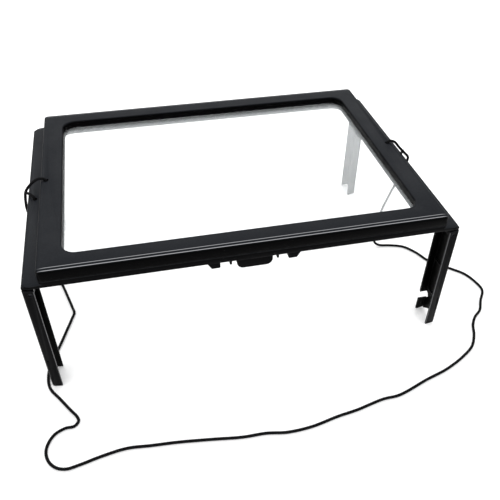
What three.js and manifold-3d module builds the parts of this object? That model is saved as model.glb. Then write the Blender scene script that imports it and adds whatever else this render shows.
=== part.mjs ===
// A hands-free page magnifier: a Fresnel sheet in a two-shell frame on four legs that fold in under
// the long rims, with a lamp module under the front rim and a neck cord. Millimetres, +Z up.
// The origin is on the table, under the middle of the frame. +X is along the frame, +Y is away
// from the reader.
import * as THREE from 'three';
import { mergeVertices } from 'three/addons/utils/BufferGeometryUtils.js';
import Module from 'manifold-3d';

const wasm = await Module();
wasm.setup();

// ---- driving dimensions ----
const FRAME_LENGTH = 283;
const FRAME_WIDTH = 213.4;
const FRAME_HEIGHT = 13.3;
const FRAME_CORNER = 3;
const RIM = 16.3;               // from the outer wall to the lens opening
const OPENING_CORNER = 10;
const STANDING_HEIGHT = 97.5;     // from the table to the frame's underside
const WALL = 2;
const PLATE = 1.8;              // floor of the lower shell and top plate of the bezel
const SHELL_SPLIT = 4.6;        // height of the lower shell
const GAP = 0.3;                // between pieces that touch
const EDGE_ROUND = [1.2, 2];    // width and height of the rounding along the bezel's outer edge
const EDGE_STEPS = 4;
const BAND_WIDTH = 2.8;         // sloped band between that rounding and the flat top
const BAND_DROP = 0.5;
const LIP_WIDTH = 0.8;          // chamfer round the opening's top edge
const UNDERCUT = [3.5, 1];      // how far the opening widens below, and the edge left under the lens

const LENS_THICKNESS = 2;
const LENS_SEAT = 3;            // how far the lens lies on its seat

const LEDGE_REACH = 11.2;       // how far each end ledge stands out of the frame's end wall
const LEDGE_EDGE = [[0.4, 0], [1.2, 0.5], [1.8, 1.6]];   // heights and insets of the ledge's rounded outer edge
const LEDGE_WALL = 2.8;         // height of the ledge at the wall
const LEDGE_CORNER = 5;
const LEDGE_ROUND = 0.6;
const KNEE = [1.7, 1.5];        // thickness of the ledge's turned-down edge, and how far it comes down
const KNEE_INSET = 2;           // from the frame's front and back to the ends of that edge

const LEG_DEPTH = 20.3;           // along Y
const LEG_INSIDE = 2.6;         // from the hinge axis to the leg's open side
const LEG_OUTSIDE = 4.8;        // from the hinge axis to the leg's outer face
const LEG_WALL = 1.5;
const LEG_RIBS = 3;
const RIB_THICKNESS = 1.2;
const RIB_HEIGHT = 1;
const HINGE_DROP = 5;           // from the frame's underside down to the hinge axis
const PIN_RADIUS = 1.2;
const PIN_INSET = 0.8;          // how far the pin's ends lie inside the leg's faces
const PIN_CLEARANCE = 0.15;
const LUG_RADIUS = 2.6;
const FOOT_NOTCH = [12.6, 19.6, 5];   // bottom, top and depth of the notch in the leg's back edge
const FOOT_ARCH = 7;
const FOOT_TAB = 1;             // depth of the tab behind the arch
const FOOT_TOE = 2;             // depth of the toe in front of the arch
const TOE_SLANT = 1.5;
const DIMPLE = [2.4, 28.5, 1, 0.8];    // on the front flange: place across, height, radius and depth

const BOX_WIDTH = 25;           // the battery box under the middle of the front rim
const BOX_HEIGHT = 7.2;
const BOX_CORNER = 4.6;
const BOX_WALL = 1.1;
const BOX_INSET = 0.4;          // from the frame's front to the drawer's front
const DRAWER_FRONT = 1.3;
const DRAWER_FLOOR = 0.6;
const CONTACT_WIDTH = 2.4;
const CONTACT_THICKNESS = 0.2;
const CONTACT_SLOT = 1.2;
const CONTACT_X = 4;
const CELL_RADIUS = 6.25;
const CELL_THICKNESS = 1.6;
const CELLS = 2;

const LAMP_X = 28.4;            // the two lamp hoods
const LAMP_WIDTH = 9;
const LAMP_HEIGHT = 5;
const LAMP_DEPTH = 9;
const LAMP_INSET = 1;           // from the frame's front to the hoods
const LED_BACK = 5;             // from the hoods' front to the lamps
const LED_LENGTH = 5.3;
const LED_TIP = 0.8;            // how far the lamps' tips lie inside the hoods
const LED_RADIUS = 1.5;
const LED_PITCH = 4;
const SWITCH_X = 16.5;
const SWITCH_BACK = 4.7;        // from the frame's front to the switch
const SWITCH_CASE = [3.2, 2.2, 0.8, 0.5];  // half length past the travel, half width, side and top walls
const KNOB_WIDTH = 1.5;
const KNOB_HALF_DEPTH = 1;
const KNOB_HEIGHT = 4;          // from the frame's underside down to the knob's end
const KNOB_INSET = 1.5;         // from the frame's front to the knob
const SWITCH_TRAVEL = 3;
const RIB_DEPTH = 6;
const BOARD_LIFT = 2.7;         // from the floor of the lower shell up to the board
const BOARD_THICKNESS = 1.2;
const RESISTOR = [1.6, 0.8, 0.6];   // half length, half width and height
const RESISTOR_X = 20;
const BOARD_LENGTH = 66;
const BOARD_WIDTH = 8;

const SCREW_RADIUS = 1;
const SCREW_HEAD_RADIUS = 2.2;
const SCREW_HEAD_HEIGHT = 1.4;
const SCREW_SLOT = [1.4, 0.3, 0.7];  // half length, half width and depth of the cross
const BOSS_RADIUS = 3.2;
const SCREW_INSET = 7;          // from the frame's outer wall to the screws on the long rims
const SCREW_SPAN = 62;

const CORD_RADIUS = 1.1;
const CORD_HOLE_RADIUS = 1.9;
const CORD_LIFT = 0.05;
const CORD_HOLE_INSET = 4.4;    // from the end wall to the hole in the bezel
const LEDGE_HOLE = [5.6, -7];   // from the end wall, and along Y

// ---- levels and places worked out from them ----
const halfLength = FRAME_LENGTH / 2;
const halfWidth = FRAME_WIDTH / 2;
const under = STANDING_HEIGHT;
const floorTop = under + PLATE;
const split = under + SHELL_SPLIT;
const top = under + FRAME_HEIGHT;
const openLength = FRAME_LENGTH - 2 * RIM;
const openWidth = FRAME_WIDTH - 2 * RIM;
const seatTop = split + GAP;
const lensBottom = seatTop + GAP;
const lensTop = lensBottom + LENS_THICKNESS;
const lipBottom = lensTop + GAP;
const hingeX = halfLength + LEDGE_REACH - LEG_OUTSIDE;
const hingeZ = under - HINGE_DROP;
const frontRimY = -halfWidth + RIM / 2;
const boardBottom = floorTop + BOARD_LIFT;
const THROUGH = 40;             // longer than any hole is deep

const ROUND_STEPS = 6;

// ---- shapes ----
function roundedLoop(length, width, radius, z) {
  const loop = [];
  for (let corner = 0; corner < 4; corner += 1) {
    const sideX = corner === 0 || corner === 3 ? 1 : -1;
    const sideY = corner < 2 ? 1 : -1;
    for (let step = 0; step <= ROUND_STEPS; step += 1) {
      const angle = (corner + step / ROUND_STEPS) * Math.PI / 2;
      const x = sideX * (length / 2 - radius) + radius * Math.cos(angle);
      const y = sideY * (width / 2 - radius) + radius * Math.sin(angle);
      loop.push(x, y, z);
    }
  }
  return loop;
}

// A closed body through rounded rectangles, one per level: [z, length, width, corner radius].
function stack(levels) {
  const ring = 4 * (ROUND_STEPS + 1);
  const loops = levels.map(([z, length, width, radius]) => roundedLoop(length, width, radius, z));
  const positions = loops.flat();
  const index = [];
  for (let level = 0; level + 1 < levels.length; level += 1) {
    for (let i = 0; i < ring; i += 1) {
      const a = level * ring + i;
      const b = level * ring + (i + 1) % ring;
      index.push(a, b, b + ring, a, b + ring, a + ring);
    }
  }
  const last = (levels.length - 1) * ring;
  for (let i = 1; i + 1 < ring; i += 1) {
    index.push(0, i + 1, i);
    index.push(last, last + i, last + i + 1);
  }
  const geometry = new THREE.BufferGeometry();
  geometry.setAttribute('position', new THREE.Float32BufferAttribute(positions, 3));
  geometry.setIndex(index);
  return geometry;
}

function plate(length, width, radius, bottom, height) {
  return stack([[bottom, length, width, radius], [bottom + height, length, width, radius]]);
}

function block([x0, x1], [y0, y1], [z0, z1]) {
  const box = new THREE.BoxGeometry(x1 - x0, y1 - y0, z1 - z0);
  return box.translate((x0 + x1) / 2, (y0 + y1) / 2, (z0 + z1) / 2);
}

function rod(radius, [x, y, z], length, axis = 'z', sides = 16) {
  const cylinder = new THREE.CylinderGeometry(radius, radius, length, sides);
  if (axis === 'z') cylinder.rotateX(Math.PI / 2);
  return cylinder.translate(x, y, z);
}

function outline(points) {
  if (points instanceof THREE.Shape) return points;
  return new THREE.Shape(points.map(([a, b]) => new THREE.Vector2(a, b)));
}

function extrude(points, depth, curveSegments = ROUND_STEPS) {
  return new THREE.ExtrudeGeometry(outline(points), { depth, bevelEnabled: false, curveSegments });
}

// An outline drawn in X and Z, pulled along Y from one place to another.
function alongY(points, from, to) {
  return extrude(points, to - from).rotateX(Math.PI / 2).translate(0, to, 0);
}

// An outline drawn in Y and Z, pulled along X from one place to another.
function alongX(points, from, to) {
  return extrude(points, to - from).rotateX(Math.PI / 2).rotateZ(Math.PI / 2).translate(from, 0, 0);
}

// A profile of [radius, z] points turned round the Z axis.
function turned(profile, segments) {
  const points = profile.map(([radius, z]) => new THREE.Vector2(radius, z));
  return new THREE.LatheGeometry(points, segments).rotateX(Math.PI / 2);
}

// A copy on the other side of a plane, with its faces still pointing out.
function mirrored(geometry, sideX, sideY = 1) {
  const copy = geometry.clone().scale(sideX, sideY, 1);
  if (sideX * sideY > 0) return copy;
  const index = copy.getIndex();
  for (let i = 0; i < index.count; i += 3) {
    const second = index.getX(i + 1);
    index.setX(i + 1, index.getX(i + 2));
    index.setX(i + 2, second);
  }
  return copy;
}

// ---- joining and cutting ----
function solid(geometry) {
  const bare = geometry.clone();
  bare.deleteAttribute('normal');
  bare.deleteAttribute('uv');
  const merged = mergeVertices(bare, 1e-4);
  const vertProperties = new Float32Array(merged.getAttribute('position').array);
  const triVerts = new Uint32Array(merged.getIndex().array);
  return new wasm.Manifold(new wasm.Mesh({ numProp: 3, vertProperties, triVerts }));
}

function surface(body) {
  const { vertProperties, triVerts } = body.getMesh();
  const geometry = new THREE.BufferGeometry();
  geometry.setAttribute('position', new THREE.Float32BufferAttribute(vertProperties, 3));
  geometry.setIndex([...triVerts]);
  geometry.computeVertexNormals();
  return geometry;
}

function join(first, ...others) {
  return surface(others.reduce((body, other) => body.add(solid(other)), solid(first)));
}

function cut(first, ...others) {
  return surface(others.reduce((body, other) => body.subtract(solid(other)), solid(first)));
}

function common(first, ...others) {
  return surface(others.reduce((body, other) => body.intersect(solid(other)), solid(first)));
}

// ---- materials ----
function finish(color, roughness, metalness = 0) {
  return new THREE.MeshStandardMaterial({ color, roughness, metalness });
}

const blackShell = finish(0x24262a, 0.5);
const blackLeg = finish(0x1b1c1f, 0.5);
const clearSheet = finish(0xdfe8ea, 0.15);
const blackSteel = finish(0x2a2b2e, 0.4, 1);
const nickel = finish(0xc9c6bd, 0.3, 1);
const board = finish(0x1e5b39, 0.6);
const ledResin = finish(0xf2f1e6, 0.2);
const switchCase = finish(0x3a3b3e, 0.45, 1);
const cordBlack = finish(0x101011, 0.9);

const magnifier = new THREE.Group();

function add(name, geometry, material, position = [0, 0, 0]) {
  const mesh = new THREE.Mesh(geometry, material);
  mesh.name = name;
  mesh.position.set(...position);
  magnifier.add(mesh);
}

// ---- screws: places shared by the two shells and the screws themselves ----
const screwPlaces = [];
for (const sideY of [-1, 1]) {
  for (const x of [-halfLength + SCREW_INSET, -SCREW_SPAN, SCREW_SPAN, halfLength - SCREW_INSET]) {
    screwPlaces.push([x, sideY * (halfWidth - SCREW_INSET)]);
  }
}
const screwTop = top - PLATE - 1;

function pillar(radius, [x, y], bottom, height) {
  return rod(radius, [x, y, bottom + height / 2], height);
}

// ---- the neck cord's holes ----
const cordHoleX = halfLength - CORD_HOLE_INSET;
const cordHoles = [-1, 1].map((side) => pillar(CORD_HOLE_RADIUS, [side * cordHoleX, 0], under - 5, THROUGH));
const ledgeHoleX = halfLength + LEDGE_HOLE[0];
const ledgePlaces = [-1, 1].map((side) => [side * ledgeHoleX, LEDGE_HOLE[1]]);
const ledgeHoles = ledgePlaces.map((place) => pillar(CORD_HOLE_RADIUS, place, under - 5, THROUGH));

// ---- rings: outlines measured from the outer wall or from the lens opening ----
function inside(inset) {
  return [FRAME_LENGTH - 2 * inset, FRAME_WIDTH - 2 * inset, FRAME_CORNER];
}

function aroundOpening(growth) {
  return [openLength + 2 * growth, openWidth + 2 * growth, OPENING_CORNER];
}

function aroundLens(growth) {
  return [openLength + 2 * (LENS_SEAT + growth), openWidth + 2 * (LENS_SEAT + growth), FRAME_CORNER];
}

// The space between the outer wall and the wall round the lens, from one level up.
function rimCavity(bottom, height) {
  return cut(plate(...inside(WALL), bottom, height), plate(...aroundLens(WALL), bottom - 1, height + 2));
}

// ---- top bezel ----
function makeBezel() {
  const bottom = split + GAP;
  const edgeTop = top - BAND_DROP;
  const [roundWidth, roundHeight] = EDGE_ROUND;
  const levels = [[bottom, ...inside(0)]];
  for (let step = 0; step <= EDGE_STEPS; step += 1) {
    const angle = step / EDGE_STEPS * Math.PI / 2;
    const inset = roundWidth * (1 - Math.cos(angle));
    levels.push([edgeTop - roundHeight * (1 - Math.sin(angle)), ...inside(inset)]);
  }
  levels.push([top, ...inside(roundWidth + BAND_WIDTH)]);
  const outside = stack(levels);
  const opening = stack([
    [bottom - 1, ...aroundOpening(0)],
    [top - LIP_WIDTH, ...aroundOpening(0)],
    [top + 1, ...aroundOpening(LIP_WIDTH + 1)],
  ]);
  const lensPocket = plate(...aroundLens(0), bottom - 1, lipBottom - bottom + 1);
  const cavity = rimCavity(bottom - 1, top - PLATE - bottom + 1);
  const bosses = screwPlaces.map((place) => pillar(BOSS_RADIUS, place, bottom, top - PLATE / 2 - bottom));
  const boreHeight = screwTop + GAP - bottom + 1;
  const bores = screwPlaces.map((place) => pillar(SCREW_RADIUS + GAP, place, bottom - 1, boreHeight));
  return cut(join(cut(outside, opening, lensPocket, cavity), ...bosses), ...bores, ...cordHoles);
}
add('top_bezel', makeBezel(), blackShell);

// ---- Fresnel sheet ----
add('fresnel_lens', plate(...aroundLens(-GAP), lensBottom, LENS_THICKNESS), clearSheet);

// ---- hinge lugs, in the leg's own frame: x' is outwards from the hinge axis ----
const lugStart = LEG_WALL + GAP + 0.1;
const lugEnd = LEG_DEPTH - lugStart;

function makeLug() {
  const knuckle = rod(LUG_RADIUS, [0, (lugStart + lugEnd) / 2, 0], lugEnd - lugStart, 'y', 20);
  const neck = block([-LUG_RADIUS, LUG_RADIUS], [lugStart, lugEnd], [0, HINGE_DROP + PLATE / 2]);
  const bore = rod(PIN_RADIUS + PIN_CLEARANCE, [0, LEG_DEPTH / 2, 0], LEG_DEPTH, 'y');
  return cut(join(knuckle, neck), bore);
}

const corners = [];
for (const [across, sideX] of [['left', -1], ['right', 1]]) {
  for (const [along, sideY] of [['front', 1], ['back', -1]]) {
    const place = [sideX * hingeX, -sideY * halfWidth, hingeZ];
    corners.push({ name: `${along}_${across}`, sideX, sideY, place });
  }
}

// ---- lower shell ----
const boxFrontY = -halfWidth + BOX_INSET;
const boxBackY = boxFrontY + DRAWER_FRONT + GAP + 2 * CELL_RADIUS + 3 * BOX_WALL;
const boxTop = under - GAP;
const boxBottom = under - BOX_HEIGHT - GAP;
const hoodFrontY = -halfWidth + LAMP_INSET;
const ledPlaces = [];
for (const side of [-1, 1]) {
  for (const offset of [-LED_PITCH / 2, LED_PITCH / 2]) {
    ledPlaces.push([side * LAMP_X + offset, hoodFrontY + LED_BACK]);
  }
}
const contactPlaces = [-1, 1].map((side) => [side * CONTACT_X, frontRimY]);
const switchY = -halfWidth + SWITCH_BACK;
const knobFrontY = -halfWidth + KNOB_INSET;

function contactSlot([x, y], levels) {
  const half = CONTACT_WIDTH / 2 + GAP;
  return block([x - half, x + half], [y - CONTACT_SLOT / 2, y + CONTACT_SLOT / 2], levels);
}

function makeLowerShell() {
  const reach = halfLength + LEDGE_REACH;
  const ledgeLevel = (z, inset) => [z, 2 * (reach - inset), FRAME_WIDTH, LEDGE_CORNER];
  const ledge = stack([
    ledgeLevel(under, 0),
    ...LEDGE_EDGE.map(([height, inset]) => ledgeLevel(under + height, inset)),
    ledgeLevel(under + LEDGE_WALL, LEDGE_REACH + WALL / 2),
  ]);
  const [kneeThickness, kneeDrop] = KNEE;
  const kneeTop = under + LEDGE_EDGE[0][0];
  const kneeLoop = [
    [reach, kneeTop], [reach - kneeThickness, kneeTop], [reach - kneeThickness, under - kneeDrop],
    [reach - LEDGE_ROUND, under - kneeDrop], [reach, under - kneeDrop + LEDGE_ROUND],
  ];
  const knee = surface(solid(alongY(kneeLoop, -halfWidth + KNEE_INSET, halfWidth - KNEE_INSET)));
  const tray = plate(...inside(0), under, SHELL_SPLIT);
  const [undercut, edgeLeft] = UNDERCUT;
  const opening = stack([
    [under - 1, ...aroundOpening(undercut)],
    [under, ...aroundOpening(undercut)],
    [split - edgeLeft, ...aroundOpening(0)],
    [split + 1, ...aroundOpening(0)],
  ]);
  const cavity = rimCavity(floorTop, SHELL_SPLIT);
  const bossHeight = SHELL_SPLIT - PLATE / 2;
  const bosses = screwPlaces.map((place) => pillar(BOSS_RADIUS, place, under + PLATE / 2, bossHeight));
  const bores = screwPlaces.map((place) => pillar(SCREW_RADIUS + GAP, place, under - 1, THROUGH));
  const headHole = SCREW_HEAD_HEIGHT + 1 + GAP;
  const heads = screwPlaces.map((place) => pillar(SCREW_HEAD_RADIUS + GAP, place, under - 1, headHole));
  const lugAt = ({ sideX, sideY, place }) => mirrored(makeLug(), sideX, sideY).translate(...place);
  const lugs = corners.map(lugAt);
  const ledHoles = ledPlaces.map((place) => pillar(LED_RADIUS + GAP, place, under - 1, PLATE + 2));
  const contactSlots = contactPlaces.map((place) => contactSlot(place, [under - 1, floorTop + 1]));
  const slotHalf = KNOB_WIDTH / 2 + GAP;
  const knobSlot = block(
    [SWITCH_X - slotHalf, SWITCH_X + SWITCH_TRAVEL + slotHalf],
    [switchY - KNOB_HALF_DEPTH - GAP, switchY + KNOB_HALF_DEPTH + GAP],
    [under - 1, floorTop + 1],
  );
  const rib = block(
    [-SWITCH_X - KNOB_WIDTH / 2, -SWITCH_X + KNOB_WIDTH / 2],
    [knobFrontY, knobFrontY + RIB_DEPTH],
    [under - KNOB_HEIGHT, under + PLATE / 2],
  );
  const hollow = cut(join(ledge, tray, knee, mirrored(knee, -1)), opening, cavity);
  const fitted = join(hollow, ...bosses, ...lugs, rib);
  return cut(fitted, ...bores, ...heads, ...ledHoles, ...contactSlots, knobSlot, ...cordHoles, ...ledgeHoles);
}
add('bottom_shell', makeLowerShell(), blackShell);

// ---- shell screws, put in from below ----
function makeScrew() {
  const profile = [
    [0, 0], [SCREW_HEAD_RADIUS * 0.8, 0], [SCREW_HEAD_RADIUS, 0.4], [SCREW_HEAD_RADIUS, SCREW_HEAD_HEIGHT],
    [SCREW_RADIUS, SCREW_HEAD_HEIGHT], [SCREW_RADIUS, screwTop - under - 1], [0, screwTop - under],
  ];
  const body = turned(profile, 12);
  const [long, short, depth] = SCREW_SLOT;
  const slot = (length, width) => block([-length, length], [-width, width], [-1, depth]);
  return cut(body, slot(long, short), slot(short, long));
}
screwPlaces.forEach(([x, y], i) => add(`shell_screw_${i + 1}`, makeScrew(), blackSteel, [x, y, under + GAP]));

// ---- legs ----
// The section is a channel open to the inside; its outer edges are rounded. Two legs, diagonally
// opposite, have a hooked foot, and the other two a plain one.
function makeLeg(hooked) {
  const heel = -hingeZ;
  const head = HINGE_DROP - KNEE[1] - GAP;
  const edge = 2;
  const section = new THREE.Shape();
  section.moveTo(-LEG_INSIDE, 0);
  section.lineTo(LEG_OUTSIDE - edge, 0);
  section.absarc(LEG_OUTSIDE - edge, edge, edge, -Math.PI / 2, 0, false);
  section.lineTo(LEG_OUTSIDE, LEG_DEPTH - 0.8);
  section.lineTo(LEG_OUTSIDE - 0.8, LEG_DEPTH);
  section.lineTo(-LEG_INSIDE, LEG_DEPTH);
  section.lineTo(-LEG_INSIDE, LEG_DEPTH - LEG_WALL);
  section.lineTo(LEG_OUTSIDE - LEG_WALL, LEG_DEPTH - LEG_WALL);
  section.lineTo(LEG_OUTSIDE - LEG_WALL, LEG_WALL);
  section.lineTo(-LEG_INSIDE, LEG_WALL);
  const channel = extrude(section, head - heel, 4).translate(0, 0, heel);

  // Seen from the front: the inner top corner is round about the hinge axis, the toe slants.
  const front = new THREE.Shape();
  front.moveTo(-LEG_INSIDE - 1, heel);
  front.lineTo(-LEG_INSIDE, heel);
  front.lineTo(LEG_OUTSIDE, heel + TOE_SLANT);
  front.lineTo(LEG_OUTSIDE, head);
  front.lineTo(0, head);
  front.absarc(0, 0, head, Math.PI / 2, Math.PI, false);
  front.lineTo(-LEG_INSIDE - 1, heel);
  const frontCut = alongY(front, -1, LEG_DEPTH + 1);

  // Seen from the side: toe, and for a hooked foot arch, tab, and the notch in the back edge.
  const [notchBottom, notchTop, notchDepth] = FOOT_NOTCH;
  const side = new THREE.Shape();
  side.moveTo(0, heel);
  if (hooked) {
    side.lineTo(FOOT_TOE, heel);
    side.lineTo(FOOT_TOE, heel + FOOT_ARCH * 0.75);
    side.lineTo(LEG_DEPTH / 2, heel + FOOT_ARCH);
    side.lineTo(LEG_DEPTH - FOOT_TAB, heel);
  }
  side.lineTo(LEG_DEPTH, heel);
  if (hooked) {
    side.lineTo(LEG_DEPTH, heel + notchBottom - 1);
    side.lineTo(LEG_DEPTH - 2, heel + notchBottom);
    side.lineTo(LEG_DEPTH - notchDepth + 1.5, heel + notchBottom + 1);
    side.lineTo(LEG_DEPTH - notchDepth, heel + (notchBottom + notchTop) / 2);
    side.lineTo(LEG_DEPTH - notchDepth + 1.5, heel + notchTop - 1);
    side.lineTo(LEG_DEPTH - 1, heel + notchTop);
    side.lineTo(LEG_DEPTH, heel + notchTop + 1);
  }
  side.lineTo(LEG_DEPTH, head);
  side.lineTo(0, head);
  const sideCut = alongX(side, -LEG_INSIDE - 1, LEG_OUTSIDE + 1);

  const ribs = [];
  const ribStart = -LUG_RADIUS - 3;
  const ribEnd = heel + notchTop + 5;
  const web = LEG_OUTSIDE - LEG_WALL;
  const ribAcross = [LEG_WALL / 2, LEG_DEPTH - LEG_WALL / 2];
  for (let i = 0; i < LEG_RIBS; i += 1) {
    const z = ribStart + (ribEnd - ribStart) * i / (LEG_RIBS - 1);
    ribs.push(block([web - RIB_HEIGHT, web + LEG_WALL / 2], ribAcross, [z - RIB_THICKNESS, z]));
  }
  const pinHole = rod(PIN_RADIUS + PIN_CLEARANCE, [0, LEG_DEPTH / 2, 0], LEG_DEPTH + 2, 'y');
  const [dimpleX, dimpleHeight, dimpleRadius, dimpleDepth] = DIMPLE;
  const dimple = rod(dimpleRadius, [dimpleX, 0, heel + dimpleHeight], 2 * dimpleDepth, 'y', 12);
  return cut(common(join(channel, ...ribs), frontCut, sideCut), pinHole, dimple);
}

const pin = rod(PIN_RADIUS, [0, LEG_DEPTH / 2, 0], LEG_DEPTH - 2 * PIN_INSET, 'y');
for (const { name, sideX, sideY, place } of corners) {
  const leg = sideX === sideY ? makeLeg(true) : makeLeg(false);
  add(`leg_${name}`, mirrored(leg, sideX, sideY), blackLeg, place);
  add(`hinge_pin_${name}`, mirrored(pin, sideX, sideY), blackSteel, place);
}

// ---- battery box: a housing with a drawer that holds two coin cells ----
function boxOutline(inset) {
  const half = BOX_WIDTH / 2 - inset;
  const radius = BOX_CORNER - inset;
  const bottom = boxBottom + inset;
  const shape = new THREE.Shape();
  shape.moveTo(-half, boxTop - inset);
  shape.lineTo(-half, bottom + radius);
  shape.absarc(-half + radius, bottom + radius, radius, Math.PI, 1.5 * Math.PI, false);
  shape.absarc(half - radius, bottom + radius, radius, 1.5 * Math.PI, 2 * Math.PI, false);
  shape.lineTo(half, boxTop - inset);
  return shape;
}

const housingFrontY = boxFrontY + DRAWER_FRONT + GAP;
const drawerInset = BOX_WALL + GAP;
const trayFloor = boxBottom + drawerInset + DRAWER_FLOOR;
const cellY = housingFrontY + BOX_WALL + CELL_RADIUS;
const cellPitch = CELL_THICKNESS + GAP / 2;
const cellsTop = trayFloor + GAP / 2 + CELLS * cellPitch;

function makeHousing() {
  const inner = alongY(boxOutline(BOX_WALL), housingFrontY - 1, boxBackY - BOX_WALL);
  const slots = contactPlaces.map((place) => contactSlot(place, [boxTop - BOX_WALL - 1, boxTop + 1]));
  return cut(alongY(boxOutline(0), housingFrontY, boxBackY), inner, ...slots);
}
add('battery_housing', makeHousing(), blackShell);

function makeDrawer() {
  const face = alongY(boxOutline(0), boxFrontY, boxFrontY + DRAWER_FRONT);
  const trayLength = boxBackY - BOX_WALL - GAP - boxFrontY - DRAWER_FRONT / 2;
  const tray = alongY(boxOutline(drawerInset), boxFrontY + DRAWER_FRONT / 2, boxFrontY + trayLength);
  const trayTop = cellsTop - CELL_THICKNESS / 3;
  const above = block([-BOX_WIDTH, BOX_WIDTH], [boxFrontY + DRAWER_FRONT, boxBackY], [trayTop, boxTop + 1]);
  const pocket = rod(CELL_RADIUS + GAP, [0, cellY, trayFloor + 5], 10, 'z', 40);
  return cut(join(cut(tray, above), face), pocket);
}
add('battery_drawer', makeDrawer(), blackShell);
for (let i = 0; i < CELLS; i += 1) {
  const bottom = trayFloor + GAP / 2 + i * cellPitch;
  add(`coin_cell_${i + 1}`, pillar(CELL_RADIUS, [0, cellY], bottom, CELL_THICKNESS), nickel);
}

// Each contact is a strip over the cells with a tab up to the circuit board.
function makeContact([x, y], reach) {
  const sideX = [x - CONTACT_WIDTH / 2, x + CONTACT_WIDTH / 2];
  const stripTop = boxTop - BOX_WALL - GAP / 2;
  const strip = block(sideX, [y, y + reach], [stripTop - CONTACT_THICKNESS, stripTop]);
  const tab = block(sideX, [y, y + CONTACT_THICKNESS], [stripTop - CONTACT_THICKNESS, boardBottom - GAP]);
  return join(strip, tab);
}
add('contact_negative', makeContact(contactPlaces[0], 5), nickel);
add('contact_positive', makeContact(contactPlaces[1], 3), nickel);

// ---- circuit board, switch and lamps ----
const boardFrontY = -halfWidth + WALL + 3 * GAP;
const boardSides = [[-BOARD_LENGTH / 2, BOARD_LENGTH / 2], [boardFrontY, boardFrontY + BOARD_WIDTH]];
add('circuit_board', block(...boardSides, [boardBottom, boardBottom + BOARD_THICKNESS]), board);
const [resistorHalf, resistorSide, resistorHeight] = RESISTOR;
const resistorZ = boardBottom + BOARD_THICKNESS + GAP;
const resistor = block([-resistorHalf, resistorHalf], [-resistorSide, resistorSide], [0, resistorHeight]);
for (const [i, x] of [-RESISTOR_X, RESISTOR_X].entries()) {
  add(`resistor_${i + 1}`, resistor, blackLeg, [x, boardFrontY + BOARD_WIDTH / 2, resistorZ]);
}

const switchBottom = floorTop + GAP;
const switchTop = boardBottom - GAP;
const [casePast, caseHalf, caseSide, caseRoof] = SWITCH_CASE;

function switchBox(inset, bottom, top) {
  const x = [SWITCH_X - casePast + inset, SWITCH_X + SWITCH_TRAVEL + casePast - inset];
  return block(x, [switchY - caseHalf + inset, switchY + caseHalf - inset], [bottom, top]);
}
const switchShell = switchBox(0, switchBottom, switchTop);
const switchRoom = switchBox(caseSide, switchBottom - 1, switchTop - caseRoof);
add('switch_case', cut(switchShell, switchRoom), switchCase);
const knobTop = switchTop - caseRoof - GAP;
const knobY = [switchY - KNOB_HALF_DEPTH, switchY + KNOB_HALF_DEPTH];
const knobX = [SWITCH_X - KNOB_WIDTH / 2, SWITCH_X + KNOB_WIDTH / 2];
const knobFoot = block([SWITCH_X - KNOB_WIDTH, SWITCH_X + KNOB_WIDTH], knobY, [switchBottom + GAP, knobTop]);
const knobStem = block(knobX, knobY, [under - KNOB_HEIGHT, knobTop]);
const knobTab = block(knobX, [knobFrontY, knobY[1]], [under - KNOB_HEIGHT, under - GAP]);
add('switch_knob', join(knobFoot, knobStem, knobTab), blackLeg);

// A lamp hood has an upright inner side and a sloped outer side.
function makeHood(side) {
  const inner = side * (LAMP_X - LAMP_WIDTH / 2);
  const outer = side * (LAMP_X + LAMP_WIDTH / 2);
  const lower = under - GAP - LAMP_HEIGHT;
  const upper = under - GAP;
  const points = [
    [inner, upper], [inner, lower + 0.6], [inner + side * 0.6, lower],
    [outer - side * 3, lower], [outer, upper],
  ];
  const body = alongY(side > 0 ? points : points.reverse(), hoodFrontY, hoodFrontY + LAMP_DEPTH);
  const wells = ledPlaces.map((place) => pillar(LED_RADIUS + GAP, place, under - THROUGH / 2, THROUGH));
  return cut(body, ...wells);
}
add('lamp_hood_left', makeHood(-1), blackShell);
add('lamp_hood_right', makeHood(1), blackShell);

function makeLed() {
  const tip = under - GAP - LAMP_HEIGHT + LED_TIP;
  const shoulder = tip + LED_RADIUS;
  const base = tip + LED_LENGTH;
  const dome = new THREE.Shape();
  dome.moveTo(0, tip);
  dome.absarc(0, shoulder, LED_RADIUS, -Math.PI / 2, 0, false);
  dome.lineTo(LED_RADIUS, base);
  dome.lineTo(0, base);
  const lens = turned(dome.getPoints(4).map(({ x, y }) => [x, y]), 12);
  const lead = block([-0.25, 0.25], [-0.25, 0.25], [base - 0.5, boardBottom - GAP]);
  const leads = [-0.9, 0.9].map((x) => lead.clone().translate(x, 0, 0));
  return join(lens, ...leads);
}
ledPlaces.forEach(([x, y], i) => add(`led_${i + 1}`, makeLed(), ledResin, [x, y, 0]));

// ---- neck cord ----
function cordTube(points, steps, sides = 8) {
  const corners = points.map((point) => new THREE.Vector3(...point));
  const extrudePath = new THREE.CatmullRomCurve3(corners, false, 'centripetal');
  const section = new THREE.Shape();
  for (let i = 0; i < sides; i += 1) {
    const angle = 2 * Math.PI * i / sides;
    const corner = [CORD_RADIUS * Math.cos(angle), CORD_RADIUS * Math.sin(angle)];
    if (i === 0) section.moveTo(...corner);
    else section.lineTo(...corner);
  }
  return new THREE.ExtrudeGeometry(section, { steps, extrudePath, bevelEnabled: false, curveSegments: 1 });
}

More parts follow.
